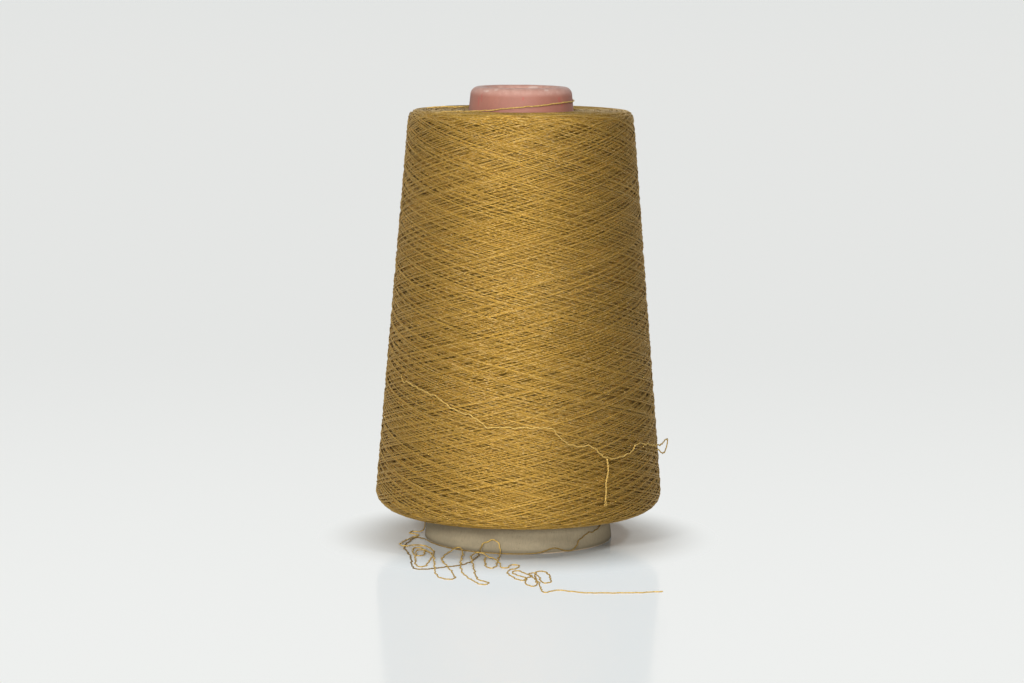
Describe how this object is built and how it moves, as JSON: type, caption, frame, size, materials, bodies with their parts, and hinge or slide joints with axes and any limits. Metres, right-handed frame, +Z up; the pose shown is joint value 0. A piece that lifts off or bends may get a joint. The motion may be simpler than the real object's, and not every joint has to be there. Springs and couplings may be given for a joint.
{
  "type": "thread cone",
  "caption": "Cross-wound tapered package of sewing thread on a paper cone with a rolled nose, both thread ends lying in a loose tangle in front of the foot.",
  "frame": {"origin": "centre of the foot, on the surface that the cone stands on", "axes": "+Z up the cone's axis towards the nose; -Y is the front, where the loose ends lie; +X to the right seen from the front"},
  "size_m": [0.1103, 0.1562, 0.17],
  "materials": {
    "board": "rolled and glued board, matte",
    "cover_paper": "plain grey-beige paper, fine fibre grain, matte",
    "nose_paper": "smooth coloured paper, slight sheen, scuffed on its shoulder",
    "thread": "two-ply twisted thread, soft satin sheen",
    "loose_thread": "two-ply twisted thread, soft satin sheen"
  },
  "bodies": {
    "root": {"cone_board": "board", "cone_cover_paper": "cover_paper", "nose_paper": "nose_paper", "winding_body": "thread", "winding_outer_layer": "thread", "inner_end": "loose_thread", "inner_end_tangle": "loose_thread", "thread_tail": "loose_thread", "thread_tail_loops": "loose_thread", "thread_tail_knots": "loose_thread", "thread_tail_end": "loose_thread", "loose_turn": "loose_thread", "loose_turn_snarl": "loose_thread", "nose_turn": "loose_thread"}
  },
  "joints": []
}
